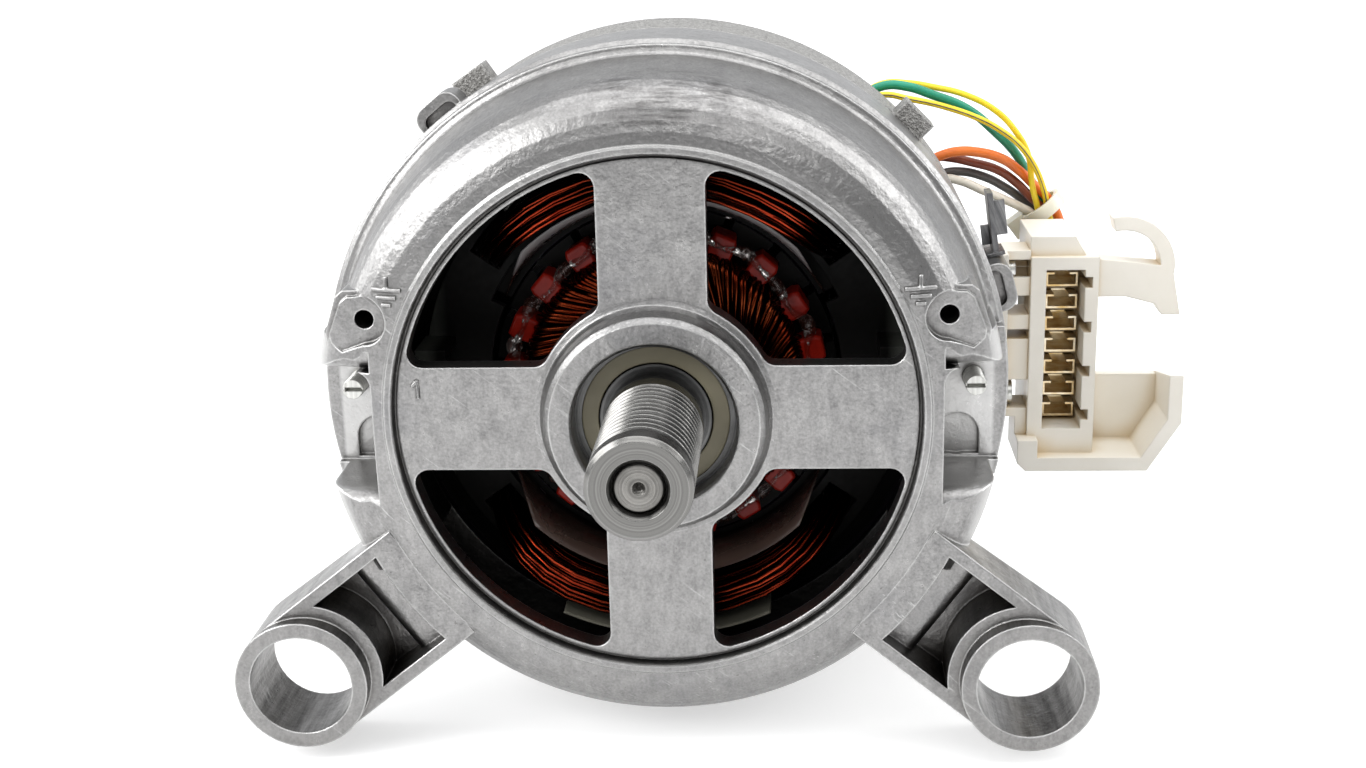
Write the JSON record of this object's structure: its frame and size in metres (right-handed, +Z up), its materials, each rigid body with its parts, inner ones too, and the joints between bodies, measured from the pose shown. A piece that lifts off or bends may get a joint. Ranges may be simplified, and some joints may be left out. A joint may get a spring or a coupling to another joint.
{
  "type": "washing machine motor",
  "caption": "Brushed washing machine motor with cast aluminium shields, spoked front, ribbed pulley, two bored feet, side connector and coloured leads.",
  "frame": {"origin": "centre of the pulley's front face, on the shaft's axis", "axes": "-Y out of the pulley along the shaft, +X towards the connector, +Z up, away from the feet"},
  "size_m": [0.1951, 0.1755, 0.138],
  "materials": {
    "cast_aluminium": "as cast, satin",
    "rough_cast_aluminium": "rough as cast",
    "lamination_steel": "stacked sheet, oiled",
    "enamelled_copper": "varnished copper wire",
    "bare_copper": "turned copper",
    "bright_steel": "turned and ground",
    "bearing_steel": "ground",
    "seal_rubber": "matte",
    "zinc_steel": "zinc plated",
    "black_plastic": "moulded",
    "white_plastic": "moulded nylon",
    "ivory_nylon": "moulded nylon",
    "clear_film": "smoky insulating film",
    "red_fibre": "varnished fibre",
    "carbon": "pressed carbon",
    "resin": "moulded resin",
    "ferrite": "sintered",
    "tin_brass": "tinned sheet",
    "green_pvc": "wire sleeve",
    "yellow_pvc": "wire sleeve",
    "orange_pvc": "wire sleeve",
    "brown_pvc": "wire sleeve",
    "grey_pvc": "wire sleeve",
    "white_pvc": "wire sleeve"
  },
  "bodies": {
    "motor_frame": {"front_shield": "cast_aluminium", "rear_shield": "rough_cast_aluminium", "stator_core": "lamination_steel", "upper_field_coil": "enamelled_copper", "lower_field_coil": "enamelled_copper", "front_coil_frame": "white_plastic", "rear_coil_frame": "white_plastic", "insulating_sleeve": "clear_film", "front_bearing_outer_ring": "bearing_steel", "front_bearing_seals": "seal_rubber", "rear_bearing_outer_ring": "bearing_steel", "rear_bearing_seals": "seal_rubber", "wave_spring": "bright_steel", "left_brush_holder": "black_plastic", "right_brush_holder": "black_plastic", "left_brush_spring": "bright_steel", "right_brush_spring": "bright_steel", "brush_holder_screws": "zinc_steel", "clamp_screws": "zinc_steel", "tacho_coil": "black_plastic", "tacho_cap": "black_plastic", "lead_grommets": "black_plastic", "connector_housing": "ivory_nylon", "connector_contacts": "tin_brass", "connector_bracket": "ivory_nylon", "bracket_screws": "zinc_steel", "green_lead": "green_pvc", "yellow_lead_a": "yellow_pvc", "yellow_lead_b": "yellow_pvc", "orange_lead": "orange_pvc", "brown_lead": "brown_pvc", "grey_lead": "grey_pvc", "white_lead": "white_pvc", "cable_tie": "white_plastic", "earth_tab": "zinc_steel"},
    "rotor": {"motor_shaft": "bright_steel", "drive_pulley": "bright_steel", "rotor_core": "lamination_steel", "rotor_winding": "enamelled_copper", "winding_core": "enamelled_copper", "slot_wedges": "red_fibre", "commutator_bars": "bare_copper", "commutator_hub": "resin", "front_bearing_inner_ring": "bearing_steel", "rear_bearing_inner_ring": "bearing_steel", "tacho_magnet": "ferrite"},
    "front_balls": {"front_ball_set": "bearing_steel"},
    "rear_balls": {"rear_ball_set": "bearing_steel"},
    "left_brush": {"left_carbon_brush": "carbon"},
    "right_brush": {"right_carbon_brush": "carbon"}
  },
  "joints": [
    {"name": "rotor_spin", "type": "hinge", "parent": "motor_frame", "child": "rotor", "pos_m": [0, 0, 0], "axis": [0, -1, 0], "continuous": true},
    {"name": "front_balls_spin", "type": "hinge", "parent": "motor_frame", "child": "front_balls", "pos_m": [0, 0, 0], "axis": [0, -1, 0], "continuous": true},
    {"name": "rear_balls_spin", "type": "hinge", "parent": "motor_frame", "child": "rear_balls", "pos_m": [0, 0, 0], "axis": [0, -1, 0], "continuous": true},
    {"name": "left_brush_slide", "type": "slide", "parent": "motor_frame", "child": "left_brush", "axis": [-1, 0, 0], "range_m": [0, 0.012], "stiffness_N_per_m": 80, "springref_m": -0.03, "deforming": ["left_brush_spring"]},
    {"name": "right_brush_slide", "type": "slide", "parent": "motor_frame", "child": "right_brush", "axis": [1, 0, 0], "range_m": [0, 0.012], "stiffness_N_per_m": 80, "springref_m": -0.03, "deforming": ["right_brush_spring"]}
  ],
  "couplings": [
    {"joint": "front_balls_spin", "follows": "rotor_spin", "ratio": 0.38},
    {"joint": "rear_balls_spin", "follows": "rotor_spin", "ratio": 0.364}
  ]
}
